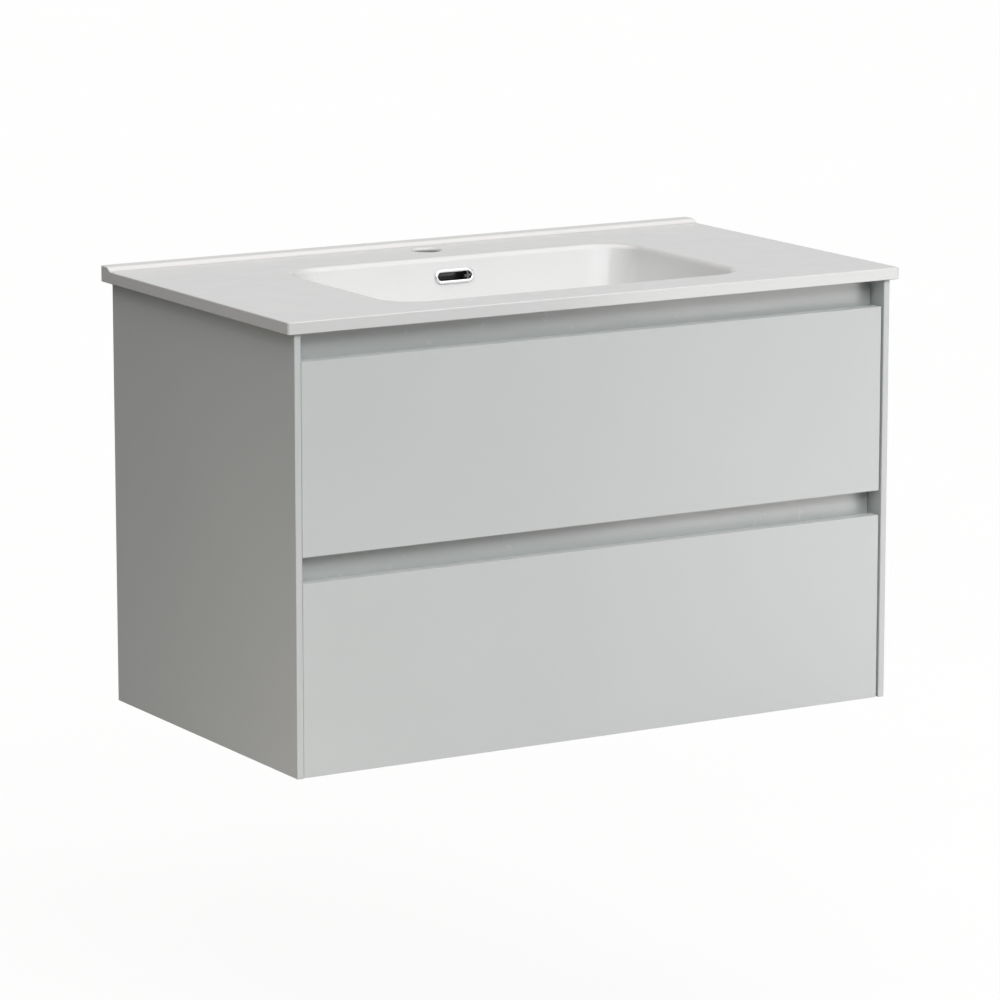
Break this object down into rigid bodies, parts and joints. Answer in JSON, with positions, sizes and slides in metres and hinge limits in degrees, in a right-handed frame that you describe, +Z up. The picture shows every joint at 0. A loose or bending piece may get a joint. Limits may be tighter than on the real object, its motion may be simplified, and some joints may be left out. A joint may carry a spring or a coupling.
{
  "type": "bathroom vanity cabinet",
  "caption": "Wall-hung bathroom vanity with inset handle-less drawers under grip channels, topped by a ceramic basin with a rectangular bowl.",
  "frame": {"origin": "bottom centre of the bounding box: in the middle of the width and of the depth from basin front to wall, level with the cabinet's underside", "axes": "+X to the right seen from the front, +Y towards the wall, +Z up; the drawers open towards -Y"},
  "size_m": [0.81, 0.46, 0.519],
  "materials": {
    "lacquer": "light grey satin lacquer on board",
    "grip_channel": "coated to match the fronts, semi-gloss",
    "ceramic": "white gloss glaze",
    "melamine": "grey textured melamine board",
    "drawer_steel": "grey satin powder coat",
    "zinc": "zinc-plated",
    "chrome": "polished",
    "white_plastic": "moulded",
    "grey_plastic": "moulded",
    "rubber": "matt black"
  },
  "bodies": {
    "carcass": {"left_side_panel": "lacquer", "right_side_panel": "lacquer", "bottom_panel": "lacquer", "front_top_rail": "lacquer", "front_middle_rail": "lacquer", "back_upper_rail": "lacquer", "back_lower_rail": "lacquer", "upper_grip_channel": "grip_channel", "middle_grip_channel": "grip_channel", "basin": "ceramic", "overflow_ring": "chrome", "waste_body": "chrome", "waste_gasket": "rubber", "waste_nut": "zinc", "waste_cartridge": "white_plastic", "hanger_body_left": "white_plastic", "hanger_body_right": "white_plastic", "hanger_hook_left": "zinc", "hanger_hook_right": "zinc", "wall_plate_left": "zinc", "wall_plate_right": "zinc", "wall_bumper_left": "rubber", "wall_bumper_right": "rubber", "upper_runner_rail_left": "zinc", "upper_runner_rail_right": "zinc", "lower_runner_rail_left": "zinc", "lower_runner_rail_right": "zinc"},
    "upper_drawer": {"upper_drawer_front": "lacquer", "upper_drawer_bottom": "melamine", "upper_drawer_side_left": "drawer_steel", "upper_drawer_side_right": "drawer_steel", "upper_drawer_rail_left": "zinc", "upper_drawer_rail_right": "zinc", "upper_front_bracket_left": "zinc", "upper_front_bracket_right": "zinc", "upper_drawer_back_left": "melamine", "upper_drawer_back_right": "melamine", "siphon_lining": "grey_plastic"},
    "lower_drawer": {"lower_drawer_front": "lacquer", "lower_drawer_bottom": "melamine", "lower_drawer_side_left": "drawer_steel", "lower_drawer_side_right": "drawer_steel", "lower_drawer_rail_left": "zinc", "lower_drawer_rail_right": "zinc", "lower_front_bracket_left": "zinc", "lower_front_bracket_right": "zinc", "lower_drawer_back": "melamine", "gallery_rod_left": "drawer_steel", "gallery_rod_right": "drawer_steel"},
    "upper_slide_left": {"upper_runner_slide_left": "zinc"},
    "upper_slide_right": {"upper_runner_slide_right": "zinc"},
    "lower_slide_left": {"lower_runner_slide_left": "zinc"},
    "lower_slide_right": {"lower_runner_slide_right": "zinc"},
    "plug": {"waste_plug": "chrome"}
  },
  "joints": [
    {"name": "upper_drawer_travel", "type": "slide", "parent": "carcass", "child": "upper_drawer", "axis": [0, -1, 0], "range_m": [0, 0.38]},
    {"name": "upper_slide_left_travel", "type": "slide", "parent": "carcass", "child": "upper_slide_left", "axis": [0, -1, 0], "range_m": [0, 0.19]},
    {"name": "upper_slide_right_travel", "type": "slide", "parent": "carcass", "child": "upper_slide_right", "axis": [0, -1, 0], "range_m": [0, 0.19]},
    {"name": "lower_drawer_travel", "type": "slide", "parent": "carcass", "child": "lower_drawer", "axis": [0, -1, 0], "range_m": [0, 0.38]},
    {"name": "lower_slide_left_travel", "type": "slide", "parent": "carcass", "child": "lower_slide_left", "axis": [0, -1, 0], "range_m": [0, 0.19]},
    {"name": "lower_slide_right_travel", "type": "slide", "parent": "carcass", "child": "lower_slide_right", "axis": [0, -1, 0], "range_m": [0, 0.19]},
    {"name": "plug_lift", "type": "slide", "parent": "carcass", "child": "plug", "axis": [0, 0, 1], "range_m": [0, 0.008]}
  ],
  "couplings": [
    {"joint": "upper_slide_left_travel", "follows": "upper_drawer_travel", "ratio": 0.5},
    {"joint": "upper_slide_right_travel", "follows": "upper_drawer_travel", "ratio": 0.5},
    {"joint": "lower_slide_left_travel", "follows": "lower_drawer_travel", "ratio": 0.5},
    {"joint": "lower_slide_right_travel", "follows": "lower_drawer_travel", "ratio": 0.5}
  ]
}
